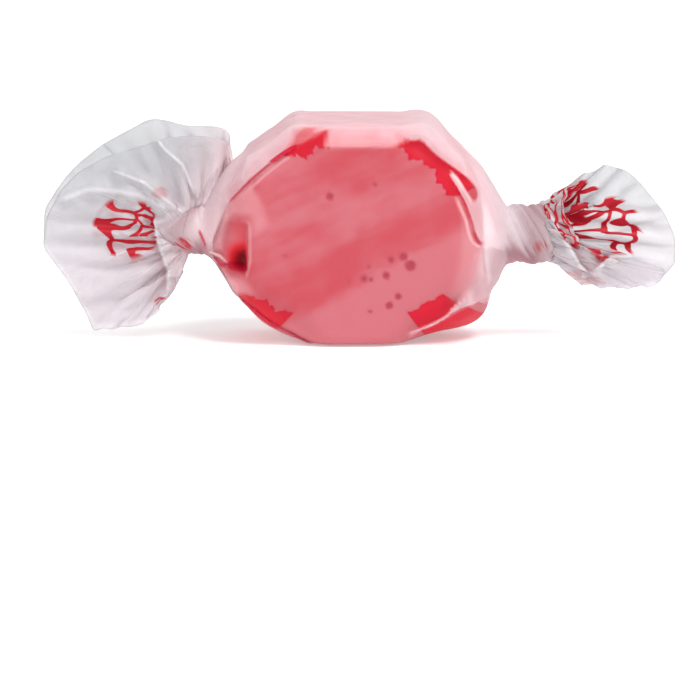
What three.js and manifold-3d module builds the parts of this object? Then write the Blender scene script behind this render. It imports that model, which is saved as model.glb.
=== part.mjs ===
// A salt water taffy in its twist-wrapped waxed paper, standing on its edge.
// Millimetres, +Z up. X runs from twist to twist, Y from the front face to the back face.
// The origin is the middle of the flat spot that the wrapped taffy stands on.
import * as THREE from "three";
import { mergeVertices } from "three/addons/utils/BufferGeometryUtils.js";
import Module from "manifold-3d";

// The taffy: a slice of pulled rope, lying with its round cut faces front and back
const TAFFY_HALF_WIDTH = 12.6;
const TAFFY_HALF_HEIGHT = 10.65;
const TAFFY_FLAT_HALF_HEIGHT = 10.3;
const TAFFY_HALF_DEPTH = 8.5;
const TAFFY_SQUARENESS = 2.5;
const TAFFY_EDGE_ROUND = 2.0;
const TAFFY_EDGE_STEPS = 3;
const TAFFY_OUTLINE_STEPS = 64;

// The waxed paper: its wall, and the air between it and the taffy
const PAPER_WALL = 0.4;
const PAPER_GAP = 0.3;
const PAPER_OUTSET = PAPER_GAP + PAPER_WALL;
const BODY_MID_HEIGHT = TAFFY_FLAT_HALF_HEIGHT + PAPER_OUTSET;

// Points round each section of the paper, and sections along it
const ROUND_STEPS = 48;
const FAN_STEPS = 9;
const NECK_STEPS = 4;
const CONE_STEPS = 5;
const BODY_STEPS = 12;

// The twisted necks and their loose ends. Each rim is the free edge of the paper, seen from the front,
// as (x, z) corners from the top fold round to the bottom fold.
const LEFT = {
  side: -1,
  neckStart: 15.3,
  neckEnd: 18.2,
  neckRadius: 2.2,
  neckHeight: 10.8,
  mouthHalfGap: 2.2,
  lean: 1.6,
  waves: 4.5,
  waveDepth: 0.75,
  rim: [
    [-12.7, 20.3], [-15.1, 21.4], [-20.5, 21.9], [-23.2, 20.3], [-25.5, 18.9], [-28.5, 16.3],
    [-31.2, 11.4], [-31.3, 9.4], [-28.7, 5.6], [-26.0, 0.9], [-21.4, 1.5], [-19.3, 3.2],
  ],
};
const RIGHT = {
  side: 1,
  neckStart: 15.0,
  neckEnd: 19.2,
  neckRadius: 2.7,
  neckHeight: 10.2,
  mouthHalfGap: 2.4,
  lean: -0.6,
  waves: 3.5,
  waveDepth: 0.6,
  rim: [
    [24.6, 16.8], [26.6, 17.3], [29.0, 14.9], [30.5, 13.6], [31.8, 10.6],
    [32.1, 8.8], [31.8, 6.4], [28.6, 4.9], [24.5, 4.7],
  ],
};
const NECK_RIDGES = 8;
const NECK_RIDGE_DEPTH = 0.26;
const NECK_TWIST_PER_MM = 0.42;
const CONE_PLEAT_DEPTH = 0.5;

// A corner of the fold that stands out at the lower right
const FOLD_CORNER = { x: 12.4, reach: 1.7, spread: 1.6, turn: 1.42, turnSpread: 0.28 };

// The red stripes in the rope: where each starts and ends round the taffy, in degrees from +X, and its depth
const STRIPES = [
  { name: "stripe_upper_left", from: 104, to: 129, depth: 2.3 },
  { name: "stripe_upper_right", from: 26, to: 68, depth: 1.9 },
  { name: "stripe_lower_right", from: -61, to: -31, depth: 3.4 },
  { name: "stripe_lower_left", from: 207, to: 235, depth: 2.0 },
];
const STRIPE_GAP = 0.3;
const STRIPE_STEPS = 8;
const STRIPE_RAGGED = 0.22;

const WAX_PINK = new THREE.MeshStandardMaterial({ color: 0xe2707c, roughness: 0.5, metalness: 0 });
const WAX_RED = new THREE.MeshStandardMaterial({ color: 0xd3202c, roughness: 0.45, metalness: 0 });
const WAXED_PAPER = new THREE.MeshStandardMaterial({ color: 0xe9e4e8, roughness: 0.4, metalness: 0 });

const wasm = await Module();
wasm.setup();

const lerp = THREE.MathUtils.lerp;
const smooth = (x) => THREE.MathUtils.smoothstep(x, 0, 1);
const bump = (x, spread) => Math.exp(-((x / spread) ** 2));

// A closed geometry as a manifold-3d solid
function toSolid(geometry) {
  const bare = geometry.index ? geometry.toNonIndexed() : geometry.clone();
  bare.deleteAttribute("normal");
  bare.deleteAttribute("uv");
  const merged = mergeVertices(bare, 1e-4);
  return new wasm.Manifold(
    new wasm.Mesh({
      numProp: 3,
      vertProperties: merged.attributes.position.array,
      triVerts: new Uint32Array(merged.index.array),
    }),
  );
}

// A manifold-3d solid as a geometry
function toGeometry(solid) {
  const made = solid.getMesh();
  const points = new Float32Array(made.numVert * 3);
  for (let i = 0; i < made.numVert; i++)
    points.set(made.vertProperties.subarray(i * made.numProp, i * made.numProp + 3), i * 3);
  const geometry = new THREE.BufferGeometry();
  geometry.setAttribute("position", new THREE.BufferAttribute(points, 3));
  geometry.setIndex(new THREE.BufferAttribute(made.triVerts, 1));
  geometry.computeVertexNormals();
  return geometry;
}

// Half the taffy's height at a distance x from its middle, seen from the front
function taffyHalfHeight(x) {
  const share = Math.min(Math.abs(x) / TAFFY_HALF_WIDTH, 1);
  const round = TAFFY_HALF_HEIGHT * (1 - share ** TAFFY_SQUARENESS) ** (1 / TAFFY_SQUARENESS);
  return Math.min(round, TAFFY_FLAT_HALF_HEIGHT);
}

// Half the taffy's depth at x, rounded where the cut faces meet the side
function taffyHalfDepth(x) {
  const inside = TAFFY_HALF_WIDTH - Math.abs(x);
  if (inside >= TAFFY_EDGE_ROUND) return TAFFY_HALF_DEPTH;
  const short = TAFFY_EDGE_ROUND - Math.max(inside, 0);
  return TAFFY_HALF_DEPTH - TAFFY_EDGE_ROUND + Math.sqrt(TAFFY_EDGE_ROUND ** 2 - short ** 2);
}

// The distance from the taffy's middle to its side in a direction, seen from the front
function taffyRadius(angle) {
  const c = Math.abs(Math.cos(angle)) / TAFFY_HALF_WIDTH;
  const s = Math.abs(Math.sin(angle)) / TAFFY_HALF_HEIGHT;
  const round = (c ** TAFFY_SQUARENESS + s ** TAFFY_SQUARENESS) ** (-1 / TAFFY_SQUARENESS);
  return Math.min(round, TAFFY_FLAT_HALF_HEIGHT / Math.max(Math.abs(Math.sin(angle)), 1e-6));
}

// Turns a shape drawn in X and Z into a solid that runs through the depth
function runThrough(shape, options) {
  const geometry = new THREE.ExtrudeGeometry(shape, { bevelEnabled: false, ...options });
  const total = options.depth;
  geometry.translate(0, 0, -total / 2);
  geometry.rotateX(Math.PI / 2);
  geometry.translate(0, 0, BODY_MID_HEIGHT);
  return toSolid(geometry);
}

function wholeTaffy() {
  const outline = [];
  for (let i = 0; i < TAFFY_OUTLINE_STEPS; i++) {
    const angle = (2 * Math.PI * i) / TAFFY_OUTLINE_STEPS;
    const radius = taffyRadius(angle);
    outline.push(new THREE.Vector2(radius * Math.cos(angle), radius * Math.sin(angle)));
  }
  return runThrough(new THREE.Shape(outline), {
    depth: 2 * (TAFFY_HALF_DEPTH - TAFFY_EDGE_ROUND),
    bevelEnabled: true,
    bevelThickness: TAFFY_EDGE_ROUND,
    bevelSize: TAFFY_EDGE_ROUND,
    bevelOffset: -TAFFY_EDGE_ROUND,
    bevelSegments: TAFFY_EDGE_STEPS,
  });
}

// The room that a stripe takes in the taffy's side, grown by a gap on every side
function stripeRoom({ from, to, depth }, gap) {
  const start = THREE.MathUtils.degToRad(from);
  const end = THREE.MathUtils.degToRad(to);
  const widen = gap / TAFFY_HALF_HEIGHT;
  const inner = [];
  const outer = [];
  for (let i = 0; i <= STRIPE_STEPS; i++) {
    const share = i / STRIPE_STEPS;
    const angle = lerp(start - widen, end + widen, share);
    const ragged = STRIPE_RAGGED * Math.sin(share * 11 + from);
    const bottom = taffyRadius(angle) - (depth + ragged) * (0.55 + 0.45 * Math.sin(Math.PI * share)) - gap;
    const top = taffyRadius(angle) + 2;
    inner.push(new THREE.Vector2(bottom * Math.cos(angle), bottom * Math.sin(angle)));
    outer.unshift(new THREE.Vector2(top * Math.cos(angle), top * Math.sin(angle)));
  }
  return runThrough(new THREE.Shape([...inner, ...outer]), { depth: 4 * TAFFY_HALF_DEPTH });
}

// A point a share of the way round a rounded rectangle of half sizes d and h: from +d up over +h and on
function roundedSection(d, h, r, share) {
  const quarter = Math.floor(share * 4) % 4;
  const within = share * 4 - Math.floor(share * 4);
  const rising = quarter % 2 === 0;
  const along = rising ? within : 1 - within;
  const arcWeight = 2.2 * (Math.PI / 2) * r;
  const up = h - r;
  const across = d - r;
  let left = along * (up + arcWeight + across);
  let y = d;
  let z = 0;
  if (left <= up) z = left;
  else if (left <= up + arcWeight) {
    const angle = ((left - up) / arcWeight) * (Math.PI / 2);
    y = across + r * Math.cos(angle);
    z = up + r * Math.sin(angle);
  } else {
    left -= up + arcWeight;
    y = across - left;
    z = h;
  }
  const ySign = quarter === 0 || quarter === 3 ? 1 : -1;
  const zSign = quarter < 2 ? 1 : -1;
  return [y * ySign, z * zSign];
}

// The half size of paper drawn tight from a neck over the taffy: the straight run, then the taffy's own side
function taut(halfSize, neckStart, neckRadius) {
  const steps = 200;
  let touch = 0;
  let steepest = -Infinity;
  for (let i = 0; i < steps; i++) {
    const x = (TAFFY_HALF_WIDTH * i) / steps;
    const slope = (halfSize(x) - neckRadius) / (neckStart - x);
    if (slope > steepest) {
      steepest = slope;
      touch = x;
    }
  }
  const size = (x) => (x <= touch ? halfSize(x) : neckRadius + steepest * (neckStart - x));
  return size;
}

// One section of the paper between the necks
function bodyPoint(x, share, inset) {
  const end = x < 0 ? LEFT : RIGHT;
  const out = PAPER_OUTSET - inset;
  const from = Math.abs(x);
  const neck = end.neckRadius - inset;
  const height = taut((at) => taffyHalfHeight(at * 0.975) + out, end.neckStart, neck)(from);
  const depth = taut((at) => taffyHalfDepth(at * 0.975) + out, end.neckStart, neck)(from);
  const toNeck = smooth((from - 11) / (end.neckStart - 11));
  const round = Math.min(lerp(TAFFY_EDGE_ROUND + out, Math.min(height, depth), toNeck), height, depth);
  const [y, z] = roundedSection(depth, height, round, share);
  const angle = 2 * Math.PI * share;
  const pleat = 1 - (toNeck * (1 - toNeck) * 4 * CONE_PLEAT_DEPTH * (0.5 + 0.5 * Math.cos(NECK_RIDGES * angle))) / depth;
  const turned = angle / Math.PI - FOLD_CORNER.turn;
  const corner = FOLD_CORNER.reach * bump(x - FOLD_CORNER.x, FOLD_CORNER.spread) * bump(turned, FOLD_CORNER.turnSpread);
  const drop = lerp(0, end.neckHeight - BODY_MID_HEIGHT, toNeck);
  return [x, y * pleat, Math.max(BODY_MID_HEIGHT + drop + z * pleat - corner, inset)];
}

// The neck's ridged, twisted rope of paper
function neckPoint(end, from, share, inset) {
  const angle = 2 * Math.PI * share;
  const twist = NECK_TWIST_PER_MM * (from - end.neckStart) * end.side;
  const ridge = inset > 0 ? 0 : NECK_RIDGE_DEPTH * Math.cos(NECK_RIDGES * angle - twist * NECK_RIDGES);
  const radius = end.neckRadius - inset * 1.6 + ridge;
  return [end.side * from, radius * Math.cos(angle), end.neckHeight + radius * Math.sin(angle)];
}

// A point on a rim's line of corners, at 1 for its top fold and -1 for its bottom one
function rimPoint(end, across) {
  const corners = end.rim;
  const runs = [0];
  for (let i = 1; i < corners.length; i++)
    runs.push(runs[i - 1] + Math.hypot(corners[i][0] - corners[i - 1][0], corners[i][1] - corners[i - 1][1]));
  const at = ((1 - across) / 2) * runs[runs.length - 1];
  let i = 1;
  while (i < runs.length - 1 && runs[i] < at) i++;
  const share = (at - runs[i - 1]) / (runs[i] - runs[i - 1]);
  return [lerp(corners[i - 1][0], corners[i][0], share), lerp(corners[i - 1][1], corners[i][1], share)];
}

// The flattened funnel of loose paper, from the neck at 0 to its free edge at 1
function fanPoint(end, out, share, inset) {
  const angle = 2 * Math.PI * share;
  const across = Math.sin(angle);
  const layer = Math.cos(angle);
  const [neckX, neckY, neckZ] = neckPoint(end, end.neckEnd, share, inset);
  const [rimX, rimZ] = rimPoint(end, across * (1 - (inset * 0.05)));
  const opened = smooth(out * 1.1);
  const gap = lerp(Math.abs(neckY), (end.mouthHalfGap - inset) * Math.abs(layer), opened) * Math.sign(layer);
  const wave = end.waveDepth * out * Math.sin(across * end.waves * Math.PI + 0.6);
  const leant = end.lean * out * out * across;
  return [lerp(neckX, rimX, out), gap + wave + leant, lerp(neckZ, rimZ, out)];
}

// Every section of the paper from the left rim to the right one, each a loop of points
function paperSections(inset) {
  const sections = [];
  const add = (point) => {
    const loop = [];
    for (let i = 0; i < ROUND_STEPS; i++) loop.push(point(i / ROUND_STEPS));
    sections.push(loop);
  };
  const addEnd = (end) => {
    const rows = [];
    for (let i = FAN_STEPS; i > 0; i--) rows.push((share) => fanPoint(end, i / FAN_STEPS, share, inset));
    for (let i = NECK_STEPS; i >= 0; i--) {
      const from = lerp(end.neckStart, end.neckEnd, i / NECK_STEPS);
      rows.push((share) => neckPoint(end, from, share, inset));
    }
    (end.side < 0 ? rows : rows.reverse()).forEach(add);
  };
  const bodyRows = [];
  const shoulder = 11.2;
  for (let i = 1; i < CONE_STEPS; i++) bodyRows.push(lerp(-LEFT.neckStart, -shoulder, i / CONE_STEPS));
  for (let i = 0; i <= BODY_STEPS; i++) bodyRows.push(lerp(-shoulder, shoulder, i / BODY_STEPS));
  for (let i = 1; i < CONE_STEPS; i++) bodyRows.push(lerp(shoulder, RIGHT.neckStart, i / CONE_STEPS));
  addEnd(LEFT);
  bodyRows.forEach((x) => add((share) => bodyPoint(x, share, inset)));
  addEnd(RIGHT);
  return sections;
}

// The paper as one wall: its outside from left to right, then its inside from right to left
function wrapperGeometry() {
  const loops = [...paperSections(0), ...paperSections(PAPER_WALL).reverse()];
  const points = loops.flat(2);
  const faces = [];
  loops.forEach((_, row) => {
    const next = ((row + 1) % loops.length) * ROUND_STEPS;
    const here = row * ROUND_STEPS;
    for (let i = 0; i < ROUND_STEPS; i++) {
      const j = (i + 1) % ROUND_STEPS;
      faces.push(here + i, here + j, next + j, here + i, next + j, next + i);
    }
  });
  const geometry = new THREE.BufferGeometry();
  geometry.setAttribute("position", new THREE.Float32BufferAttribute(points, 3));
  geometry.setIndex(faces);
  geometry.computeVertexNormals();
  return geometry;
}

const wrappedTaffy = new THREE.Group();
function addPiece(name, geometry, material) {
  const piece = new THREE.Mesh(geometry, material);
  piece.name = name;
  wrappedTaffy.add(piece);
}

const rope = wholeTaffy();
let pink = rope;
for (const stripe of STRIPES) {
  pink = pink.subtract(stripeRoom(stripe, STRIPE_GAP));
  addPiece(stripe.name, toGeometry(rope.intersect(stripeRoom(stripe, 0))), WAX_RED);
}
addPiece("taffy_body", toGeometry(pink), WAX_PINK);
addPiece("wrapper", wrapperGeometry(), WAXED_PAPER);

export default wrappedTaffy;
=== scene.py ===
# A salt water taffy in twist-wrapped waxed paper: the soft pulled candy, its red stripes and its paper.
import math

import bmesh
import bpy
import numpy as np
from mathutils import Matrix, Vector, noise
from mathutils.bvhtree import BVHTree


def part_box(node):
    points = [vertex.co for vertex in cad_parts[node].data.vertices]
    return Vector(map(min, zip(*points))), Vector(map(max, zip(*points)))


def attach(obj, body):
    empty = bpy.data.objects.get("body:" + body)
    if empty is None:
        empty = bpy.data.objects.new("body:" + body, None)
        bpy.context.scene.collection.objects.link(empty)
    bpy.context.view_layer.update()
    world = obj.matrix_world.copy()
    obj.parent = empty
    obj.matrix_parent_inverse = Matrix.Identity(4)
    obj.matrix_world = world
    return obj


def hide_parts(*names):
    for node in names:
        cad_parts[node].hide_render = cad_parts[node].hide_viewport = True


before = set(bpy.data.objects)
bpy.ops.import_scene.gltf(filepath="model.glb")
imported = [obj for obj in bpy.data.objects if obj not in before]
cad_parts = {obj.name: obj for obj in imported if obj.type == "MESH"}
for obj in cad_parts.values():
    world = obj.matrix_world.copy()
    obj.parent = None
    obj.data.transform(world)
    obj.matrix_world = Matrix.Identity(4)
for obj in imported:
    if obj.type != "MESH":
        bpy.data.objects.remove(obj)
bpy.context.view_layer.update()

MM = 0.001

# The candy, in millimetres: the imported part, and how much further the soft candy reaches on each side
candy_low, candy_high = (Vector(corner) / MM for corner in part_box("taffy_body"))
paper_low = Vector(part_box("wrapper")[0]) / MM
WRAPPED_HEIGHT = 22.0
MIDDLE = (paper_low.z + WRAPPED_HEIGHT) / 2
SWOLLEN_ACROSS, SWOLLEN_DEEP, SWOLLEN_UP = 0.2, 0.1, 0.5
CANDY_HALF_WIDTH = (candy_high.x - candy_low.x) / 2
CANDY_HALF_HEIGHT = (candy_high.z - candy_low.z) / 2 + SWOLLEN_UP
CANDY_HALF_DEPTH = (candy_high.y - candy_low.y) / 2 + SWOLLEN_DEEP
CANDY_BULGE = 1.034
CANDY_SQUARENESS = 2.5

# The radius of the candy's edge, and where it changes, by the cosine of the turn round the face
CANDY_EDGE = {"top": 1.2, "bottom": 0.9, "diagonal": 4.4, "left": 3.4, "right": 3.5}
EDGE_TO_SLOPE = (0.2, 0.4)
EDGE_TO_END = (0.8, 0.15)

# The waves that the candy swells in: their scale, start and height
SWELLS = [(0.16, (3, 1, 7), 0.22), (0.5, (0, 0, 0), 0.05)]

# Where the candy bulges between its faces: the turn in degrees, how wide and how far
CANDY_LOBES = [(188, 14, 1.5), (-34, 15, 2.4)]

# Cuts that give the candy its mesh, along its width, depth and height
CANDY_CUTS = (118, 46, 98)

# The bubbles that show in the front face: x, z and width
BUBBLES = [
    (-2.5, 15.1, 0.75), (2.0, 16.3, 0.4), (-7.0, 9.2, 0.35), (4.8, 9.1, 0.85), (5.5, 8.2, 1.05),
    (3.6, 8.8, 0.65), (3.1, 7.2, 0.7), (0.9, 6.9, 0.65), (1.6, 6.8, 0.4), (1.4, 8.1, 0.35),
    (-0.6, 6.5, 0.35), (4.3, 5.1, 0.65), (3.4, 4.2, 0.75), (1.5, 3.6, 0.4),
]
BUBBLE_DEPTH = 0.12

# Round a bubble, in its half widths: how far it sinks the face, and where its colour ends and how softly
BUBBLE_REACH, BUBBLE_RIM, BUBBLE_SOFT = 1.4, 1.25, 0.4

# The pocket beside a sharp fold at the left of the front face, with the heights where it starts, is deepest
# and ends
POCKET_FOLD = -10.6
POCKET_FOLD_WIDTH = 0.3
POCKET_LEAN = (0.4, 2.0)
POCKET_WIDTH = 2.7
POCKET_DEPTH = 2.8
POCKET_HEIGHTS = (7.2, 8.4, 12.9)
POCKET_IN, POCKET_OUT = 0.9, 0.7
POCKET_SHALLOW = (0.75, 0.2, 2.2)

# The red stripes: the turn round the candy where each starts and ends, in degrees, how far from the
# middle its inner side is at both, how much that side bellies, and how ragged it is
STRIPES = [
    ("stripe_upper_left", 105, 131, 9.5, 10.1, 0.3, 0.3),
    ("stripe_upper_right", 22, 68, 10.4, 10.1, 0.3, 0.3),
    ("stripe_lower_right", -55.5, -33, 9.1, 10.2, 0.1, 0.14),
    ("stripe_lower_left", 207, 231, 12.1, 9.9, 0.15, 0.28),
]
STRIPE_STEPS = 40

# The waves of a stripe's ragged side: their count, their height and if they shift from stripe to stripe
RAGGED_WAVES = [(11, 1.0, 1), (29, 0.6, 1), (67, 0.5, 0)]
STRIPE_PHASE = 0.7
STRIPE_WANDER = 0.15
WANDER_ACROSS, WANDER_ALONG = 0.6, 0.3

# The paper's two twists: the neck's span, radius, height, half turns at both ends, folds as (count, phase,
# depth), and how much shorter it is above, below and behind. Then the loose paper's gap, lean, slack and
# hold, and its free edge at the back and the front, as (x, z) corners from its upper fold to its lower one.
LEFT_RIM = [(-31.2, 9.4), (-28.9, 5.9), (-26.1, 1), (-21.6, 1.5), (-19.6, 3)]
LEFT = {
    "side": -1, "neck": (15, 19.6), "radius": 2.5, "height": 10.8, "turn": (-0.25, -1.3),
    "folds": [(2, 0.2, 0.16), (5, 1.1, 0.10), (9, 2, 0.06)], "slant": (3.4, 2.9, 0.6),
    "gap": 2.2, "lean": 1.5, "slack": 1.02, "hold": 0.6,
    "back": [
        (-12.3, 17), (-12.45, 18.6), (-12.55, 20.5), (-15, 20.9), (-20.6, 21.8), (-22.9, 20.6),
        (-25.3, 19.2), (-27.5, 17.4), (-29.4, 15.1), (-30.9, 12.6), *LEFT_RIM,
    ],
    "front": [
        (-12.3, 17), (-12.5, 18.5), (-12.65, 20.1), (-15, 20.5), (-19, 20.7), (-21.8, 19.8),
        (-25, 18.7), (-27.3, 17), (-29.2, 14.9), (-30.7, 12.5), *LEFT_RIM,
    ],
}
RIGHT = {
    "side": 1, "neck": (15, 19.6), "radius": 3.1, "height": 10.4, "turn": (0.25, 1.4),
    "folds": [(3, 0.6, 0.30), (7, 0.2, 0.16), (11, 1, 0.08)], "slant": (0.8, 0, 0),
    "gap": 2.3, "lean": -0.6, "slack": 1.05, "hold": 0.5,
    "back": [
        (21.3, 15.1), (23.9, 16.8), (25.8, 17.2), (27.6, 16.3), (29.3, 14.2), (31, 11.9), (31.9, 9.9),
        (31.9, 7.2), (30.8, 5.9), (28.4, 5), (25.3, 4.9), (22.6, 5.3),
    ],
    "front": [
        (21.3, 15.1), (20.8, 13), (22.1, 10.2), (23.4, 7.8), (25, 7.5), (27.2, 8.3), (29.5, 7.8),
        (30.8, 6.8), (30.2, 5.6), (28, 5.1), (25.3, 5), (22.6, 5.3),
    ],
}

# Outlines of the paper between its necks: (x, z) along the top and the bottom, and (x, y) along the front
TOP = [
    (-15, 13.3), (-13.8, 16), (-12.4, 18.2), (-10.8, 19.05), (-9, 20.4), (-5.9, 22.27),
    (7.4, 22.22), (10.4, 19.3), (12.4, 17.8), (15, 13.5),
]
BOTTOM = [
    (-15, 8.3), (-14.1, 7.8), (-13.6, 6.6), (-12.4, 4.1), (-11, 2.8), (-9, 1.2), (-4.6, 0),
    (6.4, 0), (9.9, 0.5), (12.6, 1.8), (13.4, 2.6), (14.4, 4.3), (14.95, 6.2), (15, 7.3),
]
FRONT = [(-15, 2.5), (-12.6, 6.75), (-10.7, 8.85), (10.7, 8.85), (12.7, 6.75), (15, 3.1)]
CORNER_SPREAD = 0.35

# The radius of the paper's edges in the middle and, by side and by up or down, on the slopes
PAPER_EDGE = 0.6
PAPER_EDGE_SLOPE = {(-1, 1): 3.4, (-1, -1): 4.6, (1, 1): 3.2, (1, -1): 4.8}
EDGE_CHANGE = (3, 6.5)

# The front of the paper is laid out in (x, z) as the camera sees it, from a little above, measured in the
# plane of the front face
FRONT_FACE = -8.85
VIEW_ANGLE = math.radians(7)
VIEW_SLOPE = math.tan(VIEW_ANGLE)

# Where the paper lies on the candy: the face, and the side below the fold at its lower right. Each corner
# is (x, z, how soft the border is).
LAID = [
    [
        (-15.6, 8.4, 0.2), (-14.5, 10.2, 0.15), (-13.2, 13.2, 0.15), (-12.4, 14.9, 0.15),
        (-10.4, 17, 0.15), (-8, 19, 0.15), (-6.9, 19.8, 0.25), (-6.4, 20.5, 0.5), (-6, 21.5, 0.5),
        (-4.8, 22.2, 0.3), (-3.8, 22.1, 0.2), (-4.2, 21.5, 0.2), (-3.1, 21.7, 0.2), (-1.6, 22.1, 0.15),
        (0.3, 22.3, 0.15), (2.2, 22.1, 0.15), (4, 21.5, 0.15), (5.6, 20.8, 0.2), (6.6, 20.9, 0.25),
        (8, 19.4, 0.15), (10, 17.95, 0.15), (11.3, 16.95, 0.15), (12.2, 15.9, 0.2), (12.2, 15, 0.25),
        (11.8, 14.5, 0.25), (10.9, 15.9, 0.12), (10.2, 17.1, 0.12), (9.6, 17.7, 0.12), (9.4, 17.3, 0.12),
        (10.2, 16, 0.12), (10.9, 14.6, 0.12), (11.6, 12.9, 0.15), (11.9, 11.6, 0.15), (12.3, 10.7, 0.12),
        (12.6, 10.4, 0.15), (12.5, 9.9, 0.4), (12.1, 8.8, 0.9), (11.7, 7, 1), (11, 5.4, 0.8),
        (10.2, 4.3, 0.4), (9, 3.15, 0.15), (7, 2.1, 0.25), (5.6, 1.45, 0.5), (5.5, -1.5, 0.3),
        (-9, -1.5, 0.3), (-17, 4, 0.3),
    ],
    [
        (5.2, 1.3, 0.4), (6.4, 1.5, 0.2), (8, 2.15, 0.1), (10, 3.35, 0.1), (12.4, 4.8, 0.12),
        (12.8, 4.4, 0.3), (12.8, 3.4, 0.3), (12.9, -1.5, 0.3), (5.2, -1.5, 0.3),
    ],
]
LAID_EDGE = 0.9
LAID_REACH = 3.2

# It also lies on the candy's lower side, below a height and within a depth and a width. The outlines count
# in front of a depth, which is further to the front at the top, and up to a height on the back.
LAID_BELOW = (4, 7, 13.5)
LAID_BELOW_SOFT = 0.4
LAID_BACK = 2.0
LAID_TOP = (5, 20.3, 1.2)
LAID_BACK_TOP = 19.5

# Where the laid paper is a little hazy: under the top edge of the face and at its margins, as
# (x, z, softness) corners and how much one wall hides there
VEILS = [
    ([
        (-2.9, 20.1, 0.3), (3.6, 20.1, 0.3), (4.6, 20.6, 0.3), (5.6, 21.2, 0.3), (3, 22.6, 0.3),
        (-2.4, 22.6, 0.3),
    ], 0.36),
    ([
        (-13.6, 12, 0.4), (-12.6, 14.6, 0.3), (-8.4, 18.4, 0.2), (-7.4, 18.3, 0.25), (-10, 16.6, 0.25),
        (-10.1, 15.8, 0.25), (-9.2, 14.4, 0.3), (-8.6, 12.2, 0.6), (-9.9, 11.4, 0.6), (-10.3, 13.2, 0.4),
        (-12, 13.4, 0.4),
    ], 0.13),
    ([
        (10.3, 15, 0.3), (10.7, 12, 0.4), (10.4, 8, 0.6), (9.6, 4.9, 0.6), (10.8, 5.4, 0.5),
        (12.6, 9.8, 0.5), (11.2, 11.4, 0.3),
    ], 0.12),
    ([(-13.4, 7.1, 0.4), (-11.2, 7, 0.4), (-10.2, 5.6, 0.6), (-12.3, 5.6, 0.3)], 0.12),
    # Painted light: this veil brightens the left lobe, which lies in the paper's shade
    ([
        (-14.8, 9.9, 0.2), (-14.4, 10.4, 0.2), (-13, 14, 0.3), (-12.2, 14.6, 0.3), (-12.6, 13.2, 0.5),
        (-13.1, 11.6, 0.5), (-13.2, 9.8, 0.3),
    ], 0.10),
    ([
        (-7.2, 19.7, 0.2), (-5.6, 20.35, 0.25), (-4.4, 20.95, 0.2), (-3.3, 21.5, 0.2), (-3.4, 23, 0.3),
        (-6.6, 23, 0.3), (-7.6, 20.6, 0.3),
    ], 0.13),
]

# Where the paper turns away below a fold and is in its shade, as corners and how much
SHADED = [
    ([
        (12.7, 9.9, 0.3), (13.6, 10.1, 0.12), (15.8, 9.6, 0.15), (15.4, 7.6, 0.4), (14.2, 6.4, 0.6),
        (12.9, 7.6, 0.7),
    ], 0.55),
    ([
        (9.4, 3.2, 0.2), (11, 5.4, 0.4), (12.4, 7.6, 0.5), (13.3, 7, 0.5), (12.6, 5, 0.2),
        (10, 3.3, 0.15),
    ], 0.3),
]

# Two folds of the left fan, as (x, z) corners
UPPER_FAN_FOLD = [(-24.6, 18), (-21, 16.6), (-18.2, 14.3), (-16.6, 13.2)]
LONG_FAN_FOLD = [(-30, 14.6), (-26.6, 15.9), (-24.1, 15.8), (-21.5, 15.3), (-18, 13.6)]

# Creases that lift the front of the paper: (x, z) corners, height (below 0 for a valley) and width
CREASES = [
    ([(-12.9, 13.8), (-9.6, 16.8), (-6.7, 19.4)], -0.15, 0.5),
    ([(-13.6, 14.6), (-10.2, 17.9), (-6.9, 20.5)], 0.30, 0.9),
    ([(9.5, 17.6), (10.3, 14.8), (11.1, 12.2), (11.5, 10.7), (12.4, 10.1)], 0.2, 0.45),
    ([(10.4, 16.4), (11.4, 13.4), (12.3, 11)], -0.3, 0.45),
    ([(-10.45, 13.2), (-10.45, 8.6), (-10.9, 6.6)], 0.15, 0.35),
    ([(-15.6, 9.7), (-14.3, 9.6), (-12.6, 8.3)], 0.45, 0.45),
    ([(5, 1.1), (9, 2.9), (13, 5.2), (15.5, 8.4)], 0.12, 0.5),
]

# Folds whose wax has turned white, partly painted highlights along their ridges: (x, z) corners, strength
# and half width
WHITE_FOLDS_AND_HIGHLIGHTS = [
    ([(9.5, 17.6), (10.1, 16.9), (10.7, 15.9), (11.3, 15), (11.7, 14.2)], 0.6, 0.24),
    ([
        (9.9, 15.3), (10.5, 13.9), (11, 12.7), (11.2, 11.6), (11.5, 10.7), (12.1, 10.15), (12.9, 10.1),
    ], 0.42, 0.26),
    ([(-10.8, 13.1), (-10.4, 12.2), (-10.4, 8.6), (-10.9, 6.6)], 0.18, 0.2),
    ([(-15.4, 9.8), (-14.3, 9.6), (-13.4, 9.2), (-12.7, 8.5)], 0.5, 0.18),
    ([(-11.9, 4.7), (-10, 3.1), (-8.6, 2.15), (-5.5, 0.6)], 0.3, 0.16),
    ([(-11.2, 15.2), (-9, 17.25), (-7, 18.8), (-6, 19.3)], 0.3, 0.24),
    ([(6.5, 1.7), (9, 2.95), (13, 5.2), (14.3, 6.6)], 0.1, 0.16),
    ([(-4.2, 21.6), (-1.6, 22.25), (0.3, 22.45), (2.2, 22.3), (5.6, 21.05)], 0.25, 0.15),
    ([(-20.3, 21.7), (-18.9, 19.9), (-17.2, 18.4), (-15.9, 15.2)], 0.8, 0.16),
    (UPPER_FAN_FOLD, 0.6, 0.16),
    (LONG_FAN_FOLD, 0.4, 0.3),
    ([(-20.1, 13.6), (-19.8, 11.4), (-19.2, 9.4), (-18.6, 7.8), (-18.7, 5.6), (-19.8, 3.8)], 0.7, 0.2),
    ([(23.6, 7.2), (22.4, 8.3), (21.5, 9.9), (20.4, 11.8), (19.3, 13.7)], 0.7, 0.2),
    ([(31.6, 7.9), (30, 8.5), (27.8, 9.3), (25.4, 9.1), (23.6, 7.3)], 0.6, 0.2),
]
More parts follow.
